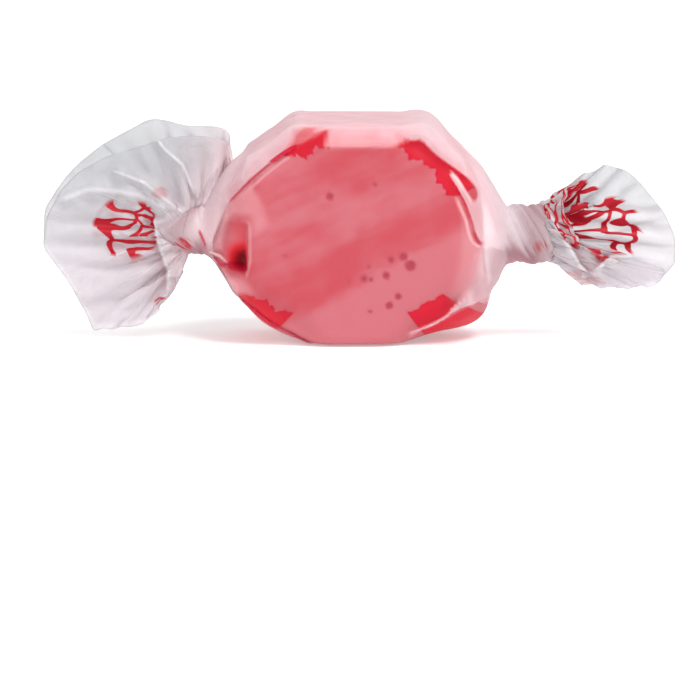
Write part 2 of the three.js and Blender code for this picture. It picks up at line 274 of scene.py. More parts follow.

# Slits between folds that show the candy's red, darkened as painted shade in the fold: (x, z) corners,
# strength and half width
RED_SLITS_AND_SHADE = [
    ([(-5.9, 20.2), (-7.2, 19.45), (-8.6, 18.45)], 0.85, 0.19),
    ([(-8.4, 18.5), (-9.9, 17.2), (-11.6, 15.5), (-12.6, 14.4)], 0.18, 0.12),
    ([(9.8, 16.4), (10.3, 15.6), (10.9, 14.5), (11.2, 13.7)], 0.3, 0.12),
    ([(11, 14.2), (11.4, 13.2), (11.75, 12.2), (11.9, 11.5)], 0.08, 0.17),
    ([(11.8, 11.9), (11.95, 11.2), (12.2, 10.65), (12.9, 10.4)], 0.3, 0.24),
    ([(-15.6, 11.9), (-15.2, 11), (-14.8, 9.9)], 0.8, 0.2),
    ([(-12.8, 6.1), (-11, 4.55), (-8.4, 2.55), (-5.5, 1), (-4, 0.3)], 0.55, 0.13),
    ([(-14.8, 9.25), (-13.6, 8.85), (-12.8, 8)], 0.35, 0.13),
    ([(-7.4, 23.05), (-6.7, 23.4), (-5.9, 23.55)], 0.8, 0.3),
    ([(-13.9, 8.35), (-12.4, 8.25), (-10.7, 7.9)], 0.5, 0.5),
]

# Where a drawn line fades beside it, and over which share of its length at both ends
LINE_FADE, LINE_NEAR = 0.5, 0.8
LINE_ENDS = 0.12
LINE_BLUR = 1.3

# Folds that stand out of the left fan's front layer: (x, z) corners, height and width
FAN_CREASES = [
    ([(-20.4, 21.8), (-18.9, 19.9), (-17.2, 18.4), (-15.8, 15.0)], 0.7, 0.5),
    (UPPER_FAN_FOLD, 0.7, 0.5),
    (LONG_FAN_FOLD, 0.6, 0.9),
    ([(-27.5, 4.4), (-24.0, 6.6), (-20.5, 8.4)], 0.5, 0.7),
]

CREASE_ENDS = 0.15
CREASE_SHARPNESS = 1.5

# Edges where the loose paper is folded over itself: (x, z) corners, height and width. The paper on the left
# of a line's way stands out, and that on its right is in its shade.
OVERLAPS = [
    ([(-20.2, 13.6), (-19.9, 11.4), (-19.3, 9.4), (-18.7, 7.8), (-18.8, 5.6), (-19.9, 3.8)], 1.0, 2.6),
    ([(23.6, 7.2), (22.4, 8.4), (21.5, 10.0), (20.4, 11.9), (19.3, 13.8)], 1.0, 1.6),
    ([(31.6, 8.0), (30.0, 8.6), (27.8, 9.4), (25.4, 9.2), (23.6, 7.4)], 0.9, 2.0),
]
OVERLAP_STEP = 0.5
OVERLAP_SHADE = 0.7
OVERLAP_ENDS = 0.1
PAPER_THICKNESS = 0.06

# Points round the paper, and rows along each stretch of it
ROUND = 112
FAN_ROWS = 20
NECK_ROWS = 10
CONE_ROWS = 9
BODY_ROWS = 26

# The loose paper starts a little inside the neck's end, and narrower
THROAT = 0.6
LIP = 0.6

# The rolled paper: where its cones start, their length, and the tube's half depth, half height and corners
CONE_START = 10.8
CONE_LENGTH = 8.4
FIRST_STEP = 0.3
NECK_GIRTH = 36.0
LEAST_REACH = 0.4
TUBE = (9.1, 11.1, 3.0)
ROLL_STEP, ROLL_RADIUS = 0.5, 10

# How firmly the cloth is held to its target on the cones and on the loose paper
CONE_LOOSE = 0.9
CONE_HELD = 3.0
FAN_HELD = 0.2
FAN_HOLD_START = 0.5

# How often the pleats of the cones are evened out, and over how many rows this fades in
CALM_ROUNDS = 8
CALM_ROWS = 4

# The small creases of the loose paper
CRINKLES = 3.0
CRINKLE_CHANGE = 0.6
CRINKLE_OTHER_END = 9
CRINKLE_WIDTH = 0.16
CRINKLE_DEPTH = 0.45
CRINKLE_BELOW = 0.2
CRINKLE_START = 6
CRINKLE_END = 1.25

# The streaks of the pulled candy: how they turn in the front face, and their size along, across and up
STREAK_TURN = math.radians(27)
STREAK_SIZE = (0.016, 0.03, 0.0042)

# The noises that make up the candy's tone: scale, detail and share
BROAD_STREAKS = (1.0, 1.5, 0.55)
FINE_STREAKS = (3.7, 3.0, 0.2)
CLOUDS = (330.0, 4.0, 0.25)
TONE_SPAN = (0.38, 0.6)
GRAIN = (2600.0, 3.0)
GRAIN_BUMP = {"Strength": 0.15, "Distance": 0.0001}

# The darker band across the candy, in streak widths: middle, half width and strength. Then the paler candy
# below it: from where to where, and how pale at both.
BAND = (2.05, 0.55, 0.10)
LOW = (1.0, 1.7, 0.16, -0.02)

# The candy's colours: light, deep and in its bubbles
PINK = ((0.48, 0.13, 0.155, 1), (0.45, 0.061, 0.08, 1), (0.36, 0.045, 0.07, 1))
RED = ((0.54, 0.005, 0.024, 1), (0.47, 0.004, 0.016, 1), (0.4, 0.01, 0.02, 1))
CANDY_SURFACE = {
    "Roughness": 0.5, "Specular IOR Level": 0.12, "Subsurface Weight": 0.3, "Subsurface Scale": 0.0012,
    "Subsurface Radius": (1.0, 0.25, 0.2),
}

# The candy's colours half way down its pocket and at its bottom: painted shade, a darker red deeper in the
# pocket
HOLLOW_SHADE_RED = (0.60, 0.010, 0.022, 1)
HOLLOW_SHADE_DARK = (0.19, 0.002, 0.004, 1)
HOLLOW_SHADE_SPANS = ((0.02, 0.5), (0.5, 0.95))

# How the paper is fitted: how deep in the candy it is still brought out, where it clings, its gaps, and how
# far off the candy it has some of its glow
SUNK_REACH = 1.5
CLINGING = (0.1, 0.8)
PAPER_GAP, LEAST_GAP = 0.05, 0.02
FAN_LIFTED = -0.3
GLOW_REACH = 2.5

# Where the paper's front, the front layer of a fan and the top of the candy start and how softly
FRONT_FROM = (1.5, 1.0)
FRONT_TO_NECK = -0.4
LAYER_SHARE, LAYER_SOFT, FAN_FROM = 0.25, 0.04, 0.1
TOP_SLANT, TOP_DEPTH, TOP_HEIGHT = (0.3, 0.3), (4, 2), (20.8, 0.6)

# How much one of the paper's two walls hides: pressed on the candy, loose but near it, and far from it.
# It hides less where it clings, more to the right, on white folds, in cracks, and seen at a slant.
PAPER_CLEAR = 0.006
PAPER_NEAR = 0.36
PAPER_LOOSE = 0.55
CLINGING_HAZE, CLINGING_TO = 0.7, 0.6
RIGHT_HAZE, RIGHT_TO = 0.12, 6.0
FOLD_HAZE = 0.6
CRACK_HAZE, CRACK_WIDTH = 0.8, 0.06
MOTTLE = (420.0, 4.0)
MOTTLE_SPAN = (0.3, 0.7, 0.88, 1.1)
PAPER_SLANT = 0.3

# The paper's shade underneath, in the twists, beside folded edges and below folds
UNDER_SHADE, TWIST_SHADE, BESIDE_SHADE = 0.95, 0.6, 0.8
UNDER_SLANT, UNDER_FROM, UNDER_TO_FAN = (0.05, 0.6), (9.5, 3.0), 0.2
TWIST_AT, TWIST_REACH = -0.15, 0.3
BELOW_FROM = (0.5, 1.0)

# How much of the paper's cover casts shadow, and its colours: white below, grey above as painted shade and
# grey at its free edge, a painted pink glow near the candy, a painted shade colour, and white folds with
# painted highlights that are cream near it
PAPER_SHADOW = 0.4
PAPER_WHITE = (0.71, 0.67, 0.70, 1)
PAPER_GREY = (0.55, 0.56, 0.58, 1)
PAINTED_PINK_GLOW = (0.86, 0.58, 0.62, 1)
PAPER_SHADE = (0.44, 0.225, 0.26, 1)
VEIL_PINK = (0.98, 0.55, 0.59, 1)
FOLD_HIGHLIGHT_WHITE = (0.92, 0.92, 0.94, 1)
FOLD_HIGHLIGHT_CREAM = (0.98, 0.74, 0.73, 1)
SLIT_SHADE_RED = (0.60, 0.008, 0.05, 1)
GREY_SHADE_HEIGHTS = (0.004, 0.02)
GREY_EDGE = (0.985, 1.0, 0.0, 0.5)
HIGHLIGHT_CREAM_SPAN = (0.1, 0.6)
PAPER_THROUGH = (0.0, 0.5, 0.4, 0.12)
PAPER_SURFACE = {"Roughness": 0.45, "Specular IOR Level": 0.3}

# The print: its red, the size of the flat paper, and the balls that it stays in: centre, radius, strength
PRINT_RED = (0.55, 0.007, 0.025, 1)
PRINT_SIZE = (68.0, 78.0, 1.0)
PRINT_SWAY = (7.0, 7.0, 0.0)
PRINT_SWAY_SCALE = 0.3
PRINT_LOOPS = 0.27
PRINT_BORDER = 0.4
PRINT_STROKE = (0.12, 0.155)
PRINTS = [
    ((-22.9, 0.0, 11.0), 3.9, 1.0), ((-17.2, -2.4, 9.3), 1.2, 1.0), ((-19.4, -2.0, 4.0), 1.0, 0.9),
    ((-19.5, -2.0, 14.6), 1.0, 0.35), ((-16.0, -2.0, 15.1), 1.0, 0.35), ((22.0, 0.0, 12.2), 3.9, 1.0),
    ((25.8, 0.0, 10.6), 3.9, 1.0), ((29.0, 0.0, 8.6), 1.8, 1.0), ((18.6, -2.0, 9.8), 1.2, 0.8),
    ((23.0, 0.0, 5.8), 2.4, 0.3),
]

# The wrapping, as a cloth simulation: a tenth of a unit is a millimetre
SIM = 0.1
SIM_CLOSED = 34
SIM_END = 46
CLOTH = {
    "vertex_group_mass": "held", "pin_stiffness": 2.0, "quality": 6, "mass": 0.15, "tension_stiffness": 60,
    "compression_stiffness": 60, "shear_stiffness": 25, "bending_stiffness": 30.0, "tension_damping": 15,
    "compression_damping": 15, "shear_damping": 10, "bending_damping": 1.0, "air_damping": 2,
}
CLOTH_STOPPED = {"distance_min": 0.005, "collision_quality": 3, "use_self_collision": False}
STOP = {"thickness_outer": 0.005, "thickness_inner": 0.1, "cloth_friction": 2}

# Light and camera, in metres, and the floor's half width, in millimetres
WHITE = (1, 1, 1, 1)
WORLD_LIGHT, WORLD_SEEN = 0.65, 1.05
LIT_SPOT = (0, 0, 0.01)
LIGHTS = [("key", (0.16, -0.2, 0.42), 0.2, 1.8), ("front", (-0.28, -0.5, 0.06), 0.3, 1.25)]
FLOOR_SIZE = 4000
FLOOR_SURFACE = {
    "Base Color": (0.9, 0.9, 0.9, 1), "Roughness": 0.9, "Emission Color": WHITE, "Emission Strength": 0.3,
}
CAMERA_TARGET = (-0.0005, 0, -0.0013)
CAMERA_DISTANCE = 1.5
CAMERA_CLIP = (0.01, 20)
VIEW_WIDTH = 0.070
SENSOR_WIDTH = 36


def smooth(x):
    """A soft step from 0 to 1."""
    x = np.clip(x, 0.0, 1.0)
    return x * x * (3 - 2 * x)


def ramp(value, start, length):
    """A soft step from 0 at a start to 1 a length further."""
    return smooth((value - start) / length)


def outline(corners, x):
    """An outline's height at x, its corners slightly rounded."""
    xs, zs = zip(*corners)
    return sum(np.interp(x + shift, xs, zs) for shift in (-CORNER_SPREAD, 0, CORNER_SPREAD)) / 3


def new_object(name, bm):
    """Turns a bmesh in millimetres into an object in metres."""
    mesh = bpy.data.meshes.new(name)
    bmesh.ops.recalc_face_normals(bm, faces=bm.faces)
    for face in bm.faces:
        face.smooth = True
    bm.to_mesh(mesh)
    bm.free()
    mesh.transform(Matrix.Scale(MM, 4))
    piece = bpy.data.objects.new(name, mesh)
    bpy.context.scene.collection.objects.link(piece)
    return piece


def candy_radius(turn):
    """How far the candy's side is from its middle, seen from the front."""
    c = abs(math.cos(turn)) / (CANDY_HALF_WIDTH + SWOLLEN_ACROSS)
    s = abs(math.sin(turn)) / (CANDY_HALF_HEIGHT * CANDY_BULGE)
    round_side = (c**CANDY_SQUARENESS + s**CANDY_SQUARENESS) ** (-1 / CANDY_SQUARENESS)
    return min(round_side, CANDY_HALF_HEIGHT / max(abs(math.sin(turn)), 1e-6))


def candy_edge(turn):
    """The radius of the candy's edge: rounder on its four slopes."""
    side = CANDY_EDGE["left" if math.cos(turn) < 0 else "right"]
    slope, end = (float(ramp(abs(math.cos(turn)), *change)) for change in (EDGE_TO_SLOPE, EDGE_TO_END))
    flat = CANDY_EDGE["top" if math.sin(turn) > 0 else "bottom"]
    edge = flat + (CANDY_EDGE["diagonal"] - flat) * slope
    return edge + (side - edge) * end


def candy_lobe(turn):
    """How far the candy bulges out half way between its faces."""
    lobes = 0.0
    for middle, width, reach in CANDY_LOBES:
        away = (math.degrees(turn) - middle + 180) % 360 - 180
        lobes += reach * math.exp(-((away / width) ** 2))
    return lobes


def edge_path(reach, radius, share):
    """Goes a share of the way over a flat stretch and half of the rounded edge after it."""
    along = share * (reach - radius + radius * math.pi / 4)
    if along <= reach - radius:
        return along, 0.0
    turn = (along - (reach - radius)) / radius
    return reach - radius + radius * math.sin(turn), radius * (1 - math.cos(turn))


def candy_point(a, b, c):
    """Moves a point of a cube that reaches from -1 to 1 onto the candy."""
    out = max(abs(a), abs(c))
    turn = math.atan2(c, a)
    side, edge = candy_radius(turn), candy_edge(turn)
    if abs(b) > 0.9999:
        across, sunk = edge_path(side, edge, out)
        y = math.copysign(CANDY_HALF_DEPTH - sunk, b)
    else:
        along, sunk = edge_path(CANDY_HALF_DEPTH, edge, abs(b))
        y = math.copysign(along, b)
        across = side - sunk + candy_lobe(turn) * math.cos(b * math.pi / 2) ** 1.5
    return Vector((across * math.cos(turn), y, MIDDLE + across * math.sin(turn)))


def pocket_depth(x, z):
    """How far the front is pressed in beside its sharp left fold: deepest near the fold's foot."""
    foot, deepest, head = POCKET_HEIGHTS
    lean, lean_height = POCKET_LEAN
    share, above, height = POCKET_SHALLOW
    beside = POCKET_FOLD - lean * smooth((deepest - z) / lean_height) - x
    inward = smooth(beside / POCKET_FOLD_WIDTH) * (1 - ramp(beside, POCKET_FOLD_WIDTH, POCKET_WIDTH))
    rising = ramp(z, foot, POCKET_IN) * (1 - smooth((z - head + POCKET_OUT) / POCKET_OUT))
    return POCKET_DEPTH * float(inward * rising * (1 - share * smooth((z - deepest - above) / height)))


def swell(spot):
    return sum(noise.noise(spot * scale + Vector(start)) * height for scale, start, height in SWELLS)


def press_bubbles(spot):
    """Sinks a spot where a bubble is, and returns its share of a bubble's colour."""
    tint = 0.0
    for x, z, width in BUBBLES:
        away = math.hypot(spot.x - x, spot.z - z) / (width / 2)
        if away < BUBBLE_REACH:
            tint = max(tint, float(smooth((BUBBLE_RIM - away) / BUBBLE_SOFT)))
            spot.y += BUBBLE_DEPTH * width * float(smooth(BUBBLE_REACH - away))
    return tint


def make_whole_candy():
    """The soft block of candy, pulled slightly uneven, with its bubbles."""
    bm = bmesh.new()
    bmesh.ops.create_cube(bm, size=2)
    for axis, cuts in enumerate(CANDY_CUTS):
        along = [e for e in bm.edges if abs(e.verts[0].co[axis] - e.verts[1].co[axis]) > 1e-4]
        bmesh.ops.subdivide_edges(bm, edges=along, cuts=cuts, use_grid_fill=True)
    bubble = bm.verts.layers.float.new("bubble")
    hollow = bm.verts.layers.float.new("hollow")
    for vert in bm.verts:
        spot = candy_point(*vert.co)
        share = spot.y / CANDY_HALF_DEPTH
        spot.y += swell(spot) * share
        if spot.y < 0:
            depth = pocket_depth(spot.x, spot.z)
            vert[hollow] = depth / POCKET_DEPTH
            spot.y += depth
            vert[bubble] = press_bubbles(spot)
        vert.co = spot
    return new_object("whole_candy", bm)


def ragged(share, phase):
    """How far a stripe's inner side reaches in or out, a share of the way along it."""
    return sum(height * math.sin(share * count + phase * own) for count, height, own in RAGGED_WAVES)


def stripe_cutter(name, start, end, inner_start, inner_end, belly, uneven):
    """A block with a ragged inner side, which cuts one stripe's room out of the candy."""
    bm = bmesh.new()
    inner, outer = [], []
    for i in range(STRIPE_STEPS + 1):
        share = i / STRIPE_STEPS
        turn = math.radians(start + (end - start) * share)
        reach = inner_start + (inner_end - inner_start) * share
        bellied = 1 - 2 * math.sin(math.pi * share) ** 0.5
        reach += belly * bellied + uneven * ragged(share, start * STRIPE_PHASE)
        for line, radius in ((inner, reach), (outer, 2 * CANDY_HALF_WIDTH)):
            across, up = radius * math.cos(turn), radius * math.sin(turn)
            line.append(bm.verts.new((across, -2 * CANDY_HALF_DEPTH, MIDDLE + up)))
    bm.faces.new(inner + outer[::-1])
    made = bmesh.ops.extrude_face_region(bm, geom=bm.faces[:])
    moved = [v for v in made["geom"] if isinstance(v, bmesh.types.BMVert)]
    bmesh.ops.translate(bm, verts=moved, vec=(0, 4 * CANDY_HALF_DEPTH, 0))
    for vert in bm.verts:
        x, y, z = vert.co
        spot = Vector((x * WANDER_ACROSS, y * WANDER_ALONG, z * WANDER_ACROSS + start))
        vert.co += Vector((x, 0, z - MIDDLE)).normalized() * noise.noise(spot) * STRIPE_WANDER
    return new_object(name + "_room", bm)


def applied(piece):
    """Applies a piece's modifiers."""
    graph = bpy.context.evaluated_depsgraph_get()
    mesh = bpy.data.meshes.new_from_object(piece.evaluated_get(graph))
    piece.modifiers.clear()
    piece.data = mesh
    return piece


def cut(piece, tool, operation):
    """Cuts a piece with a tool, or keeps only what lies inside it."""
    change = piece.modifiers.new("cut", "BOOLEAN")
    change.operation = operation
    change.solver = "EXACT"
    change.object = tool
    return applied(piece)


def copy_of(piece, name):
    twin = piece.copy()
    twin.data = piece.data.copy()
    twin.name = name
    bpy.context.scene.collection.objects.link(twin)
    return twin


def make_candy():
    """The pink candy and the red stripes that run through it, fitted face to face."""
    whole = make_whole_candy()
    pink = copy_of(whole, "pink_candy")
    stripes = []
    for name, *shape in STRIPES:
        room = stripe_cutter(name, *shape)
        stripes.append(cut(copy_of(whole, name.replace("stripe", "red_stripe")), room, "INTERSECT"))
        cut(pink, room, "DIFFERENCE")
        bpy.data.objects.remove(room)
    for piece in [pink, *stripes]:
        piece.data.shade_smooth()
        piece.data.set_sharp_from_angle(angle=math.radians(50))
    return whole, pink, stripes


def rounded_section(d, h, edges, share):
    """Points a share of the way round a rounded rectangle of half sizes d and h, from +d up over +h.

    It takes an edge radius for each of its quarters.
    """
    quarter = np.floor(share * 4).astype(int) % 4
    r = np.minimum(np.array(edges)[quarter], min(d, h))
    within = share * 4 - np.floor(share * 4)
    along = np.where(quarter % 2 == 0, within, 1 - within)
    up, across, arc = h - r, d - r, math.pi / 2 * r
    left = along * (up + arc + across)
    turn = np.clip((left - up) / arc, 0, 1) * math.pi / 2
    y = across + r * np.cos(turn) - np.clip(left - up - arc, 0, None)
    z = np.minimum(left, up) + r * np.sin(turn)
    return np.where((quarter == 0) | (quarter == 3), y, -y), np.where(quarter < 2, z, -z)


SHARE = np.arange(ROUND) / ROUND


def body_row(x):
    """The paper round the candy at x."""
    top, bottom, depth = outline(TOP, x), outline(BOTTOM, x), outline(FRONT, x)
    half = (top - bottom) / 2
    end = LEFT if x < 0 else RIGHT
    to_neck = float(ramp(abs(x), CONE_START, end["neck"][0] - CONE_START))
    turned = SHARE + to_neck * end["turn"][0] / 2
    slope = float(ramp(abs(x), *EDGE_CHANGE))
    upper, lower = (PAPER_EDGE_SLOPE[end["side"], up] for up in (1, -1))
    edges = [PAPER_EDGE + (wide - PAPER_EDGE) * slope for wide in (upper, upper, lower, lower)]
    edges = [edge + (min(half, depth) - edge) * to_neck for edge in edges]
    y, z = rounded_section(depth, half, edges, turned)
    return np.stack([np.full(ROUND, x), y, (top + bottom) / 2 + z], 1)


def neck_row(end, along):
    """A ring of the twisted neck, a share of the way from the candy to the loose paper."""
    start, stop = end["neck"]
    turn = 2 * math.pi * SHARE + math.pi * np.interp(along, (0, 1), end["turn"])
    above, below, behind = end["slant"]
    short = above * np.maximum(np.sin(turn), 0) + below * np.maximum(-np.sin(turn), 0)
    reach = stop - start - short - behind * np.maximum(np.cos(turn), 0)
    x = end["side"] * (start + reach * along)
    radius = end["radius"]
    for count, phase, depth in end["folds"]:
        radius = radius - depth * (1 - np.abs(np.cos(math.pi * count * SHARE + phase)))
    return np.stack([x, radius * np.cos(turn), end["height"] + radius * np.sin(turn)], 1)


def along_rim(corners, share):
    """Points a share of the way along a rim, from its upper fold to its lower one."""
    line = np.array(corners)
    run = np.concatenate([[0], np.cumsum(np.hypot(*np.diff(line, axis=0).T))])
    at = share * run[-1]
    return np.interp(at, run, line[:, 0]), np.interp(at, run, line[:, 1])


def rim_loop(end):
    """The free edge of the loose paper, all the way round."""
    share = (SHARE + end["turn"][1] / 2) % 1
    front = (share > 0.25) & (share < 0.75)
    down = np.where(front, (share - 0.25) * 2, ((0.25 - share) % 1) * 2)
    back_x, back_z = along_rim(end["back"], down)
    front_x, front_z = along_rim(end["front"], down)
    bulge = end["gap"] * np.sin(math.pi * down) ** 0.7
    y = np.where(front, -bulge, bulge) + end["lean"] * (1 - 2 * down)
    return np.stack([np.where(front, front_x, back_x), y, np.where(front, front_z, back_z)], 1)


def fan_row(end, out):
    """A row of the loose paper, a share of the way from its throat to its free edge."""
    throat = neck_row(end, 1) - (end["side"] * LIP, 0, end["height"])
    throat[:, 1:] *= THROAT
    throat[:, 2] += end["height"]
    return throat * (1 - out) + rim_loop(end) * out


def loop_length(loop):
    return float(np.linalg.norm(loop - np.roll(loop, 1, axis=0), axis=1).sum())


def tube_row(x, length):
    """A round-cornered ring of the paper before it is drawn in, of a given length."""
    half_depth, half_height, corner = TUBE
    y, z = rounded_section(half_depth, half_height, [corner] * 4, SHARE)
    ring = np.stack([np.full(ROUND, float(x)), y, z], 1)
    ring[:, 1:] *= length / loop_length(ring)
    ring[:, 2] += MIDDLE
    return ring


def fan_rows(end, lip):
    """The rows of the loose paper, from the rolled neck's end at a lip to the free edge."""
    side, slack = end["side"], end["slack"]
    rim = loop_length(rim_loop(end)) * slack
    lengths = np.linalg.norm(rim_loop(end) - fan_row(end, 0), axis=1) * slack
    spread = (rim - NECK_GIRTH) / 2 / math.pi
    lengths = np.sqrt(np.maximum(lengths**2 - spread**2, (LEAST_REACH * lengths) ** 2))
    rows = []
    for i in range(1, FAN_ROWS + 1):
        out = i / FAN_ROWS
        ring = tube_row(side * lip, NECK_GIRTH + (rim - NECK_GIRTH) * out)
        ring[:, 0] += side * lengths * out
        held = 1 - (1 - end["hold"] * (FAN_HOLD_START + out)) * float(smooth(out / FAN_HELD))
        rows.append((ring, fan_row(end, out), held))
    return rows


def end_rows(end, girth):
    """The rows of one end of the paper: its cone, its neck and its loose paper."""
    side, (start, stop) = end["side"], end["neck"]
    reach = math.sqrt(CONE_LENGTH**2 - ((girth - NECK_GIRTH) / 2 / math.pi) ** 2)
    rows = []
    for i in range(1, CONE_ROWS):
        along = i / CONE_ROWS
        x = side * (CONE_START + (start - CONE_START) * along)
        ring = tube_row(side * (CONE_START + reach * along), girth + (NECK_GIRTH - girth) * along)
        held = 1 - (1 - CONE_LOOSE) * float(ramp(abs(x), CONE_START, CONE_HELD))
        rows.append((ring, body_row(x), held))
    for i in range(NECK_ROWS + 1):
        along = i / NECK_ROWS
        x = side * (CONE_START + reach + (stop - start) * along)
        rows.append((tube_row(x, NECK_GIRTH), neck_row(end, along), 1.0))
    return rows + fan_rows(end, CONE_START + reach + stop - start)


def paper_rows():
    """Each row of the paper: where it starts, where it is drawn to, and how firmly it is held."""
    girth = loop_length(body_row(0))
    places = [-CONE_START, *np.linspace(-CONE_START + FIRST_STEP, CONE_START, BODY_ROWS)]
    body = [(tube_row(x, girth), body_row(x), 1.0) for x in places]
    flat, drawn, hold = zip(*end_rows(LEFT, girth)[::-1], *body, *end_rows(RIGHT, girth))
    return np.array(flat), np.array(drawn), hold


PLACE = ("row", "turn across", "turn up")


def make_paper_tube(rows):
    """A sheet of paper with one square for each step, rolled and joined at the back."""
    bm = bmesh.new()
    bm.loops.layers.uv.new("sheet")
    bmesh.ops.create_grid(bm, x_segments=rows - 1, y_segments=ROUND, size=0.5, calc_uvs=True)
    row_of, *turn_of = (bm.verts.layers.float.new(name) for name in PLACE)
    for vert in bm.verts:
        turn = 2 * math.pi * (vert.co.y + 0.5)
        vert[row_of] = (vert.co.x + 0.5) * (rows - 1)
        for layer, value in zip(turn_of, (math.cos(turn), math.sin(turn))):
            vert[layer] = value
        across, up = ROLL_RADIUS * math.cos(turn), ROLL_RADIUS * math.sin(turn)
        vert.co = (vert[row_of] * ROLL_STEP, across, MIDDLE + up)
    bmesh.ops.remove_doubles(bm, verts=bm.verts, dist=1e-3)
    return new_object("waxed_paper", bm)


def place_on_sheet(piece):
    """The row and the turn round the tube, from 0 to 1, of each point of the paper."""
    values = [np.zeros(len(piece.data.vertices), np.float32) for _ in PLACE]
    for name, value in zip(PLACE, values):
        piece.data.attributes[name].data.foreach_get("value", value)
    row, across, up = values
    return row, np.arctan2(up, across) / 2 / math.pi % 1


def set_all(thing, values):
    for name, value in values.items():
        setattr(thing, name, value)


def set_points(mesh, points):
    mesh.vertices.foreach_set("co", np.asarray(points, np.float32).ravel())
    mesh.update()


def get_points(mesh):
    points = np.zeros(len(mesh.vertices) * 3, np.float32)
    mesh.vertices.foreach_get("co", points)
    return points.reshape(-1, 3).astype(float)


def add_shapes(piece, flat, drawn):
    """Takes the paper from its rolled shape to its wrapped one."""
    set_points(piece.data, flat * SIM)
    piece.shape_key_add(name="rolled")
    wrapped = piece.shape_key_add(name="wrapped")
    wrapped.data.foreach_set("co", (drawn * SIM).astype(np.float32).ravel())
    for value, number in ((0, 1), (1, SIM_CLOSED)):
        wrapped.value = value
        wrapped.keyframe_insert("value", frame=number)


def hold_rows(piece, hold):
    """Holds each point of the paper to its target as firmly as its row says."""
    held = piece.vertex_groups.new(name="held")
    for value in sorted(set(hold)):
        held.add([i for i, h in enumerate(hold) if h == value], value, "REPLACE")


def stop_for_paper(candy):
    """A copy of the candy at the simulation's size, which stops the paper."""
    stop = copy_of(candy, "candy_for_wrapping")
    stop.data.transform(Matrix.Scale(SIM / MM, 4))
    stop.modifiers.new("stop", "COLLISION")
    set_all(stop.collision, STOP)
    return stop


def draw_in(piece, flat, drawn, hold, candy):
    """Draws the rolled paper in round the candy, and returns where it then lies."""
    scene = bpy.context.scene
    add_shapes(piece, flat, drawn)
    hold_rows(piece, hold)
    stop = stop_for_paper(candy)
    cloth = piece.modifiers.new("paper", "CLOTH")
    set_all(cloth.settings, CLOTH)
    cloth.settings.effector_weights.gravity = 0
    set_all(cloth.collision_settings, CLOTH_STOPPED)
    cloth.point_cache.frame_start = 1
    cloth.point_cache.frame_end = SIM_END
    for number in range(1, SIM_END + 1):
        scene.frame_set(number)
    graph = bpy.context.evaluated_depsgraph_get()
    settled = get_points(piece.evaluated_get(graph).data) / SIM
    scene.frame_set(1)
    piece.modifiers.clear()
    piece.shape_key_clear()
    piece.vertex_groups.clear()
    bpy.data.objects.remove(stop)
    return settled


def calm(points, row, step):
    """Evens out the narrowest pleats between the candy and the necks."""
    grid = np.zeros((row.max() + 1, ROUND, 3))
    grid[row, step] = points
    from_end = np.minimum(np.arange(len(grid)), len(grid) - 1 - np.arange(len(grid)))
    share = smooth((from_end - FAN_ROWS - NECK_ROWS / 2) / CALM_ROWS)[:, None, None]
    for _ in range(CALM_ROUNDS):
        even = (np.roll(grid, 1, axis=1) + 2 * grid + np.roll(grid, -1, axis=1)) / 4
        grid += (even - grid) * share
    return grid[row, step]


def make_paper(candy):
    flat, drawn, hold = paper_rows()
    piece = make_paper_tube(len(flat))
    row, turn = place_on_sheet(piece)
    row, step = np.rint(row).astype(int), np.rint(turn * ROUND).astype(int) % ROUND
    flat, drawn = flat[row, step], drawn[row, step]
    hold = [hold[i] for i in row]
    points = calm(draw_in(piece, flat, drawn, hold, candy), row, step)
    set_points(piece.data, points * MM)
    finer = piece.modifiers.new("finer", "SUBSURF")
    finer.levels = finer.render_levels = 1
    applied(piece)
    fit_paper(piece, candy, last_row=max(row))
    wall = piece.modifiers.new("wall", "SOLIDIFY")
    wall.thickness = PAPER_THICKNESS * MM
    wall.offset = 1
    return piece


FAR = 1e9
FAR_ACROSS = 9.0


def along_line(corners, x, z):
    """For each point of the front: how far it is from a line, on which side, and where on the line.

    The last is the share of the line and, for corners with a third value, that value there.
    """
    best, side, place, value = (np.full(len(x), start) for start in (FAR, 1.0, 0.0, 1.0))
    run = 0.0
    for (ax, az, *first), (bx, bz, *second) in zip(corners, corners[1:]):
        across, up = bx - ax, bz - az
        length = math.hypot(across, up)
        share = np.clip(((x - ax) * across + (z - az) * up) / length**2, 0, 1)
        away = np.hypot(x - ax - across * share, z - az - up * share)
        nearer = away < best
        best = np.where(nearer, away, best)
        side = np.where(nearer, np.where(across * (z - az) > up * (x - ax), 1.0, -1.0), side)
        place = np.where(nearer, run + share * length, place)
        if first:
            value = np.where(nearer, first[0] + (second[0] - first[0]) * share, value)
        run += length
    return best, side, place / run, value


def within(corners, x, z):
    """How far points are inside an outline, below 0 if outside, and how soft its border is there."""
    inside = np.zeros(len(x), bool)
    closed = corners + corners[:1]
    for (ax, az, _), (bx, bz, _) in zip(closed, closed[1:]):
        if az != bz:
            crossing = ax + (z - az) * (bx - ax) / (bz - az)
            inside ^= ((z > az) != (z > bz)) & (x < crossing)
    away, _, _, soft = along_line(closed, x, z)
    return np.where(inside, away, -away), soft


def soft_areas(areas, x, seen):
    """How much each point of the front has of some outlined areas with soft borders."""
    cover = np.zeros(len(x))
    for corners, amount in areas:
        inside, soft = within(corners, x, seen)
        cover = np.maximum(cover, amount * smooth(inside / soft / 2 + 0.5))
    return cover


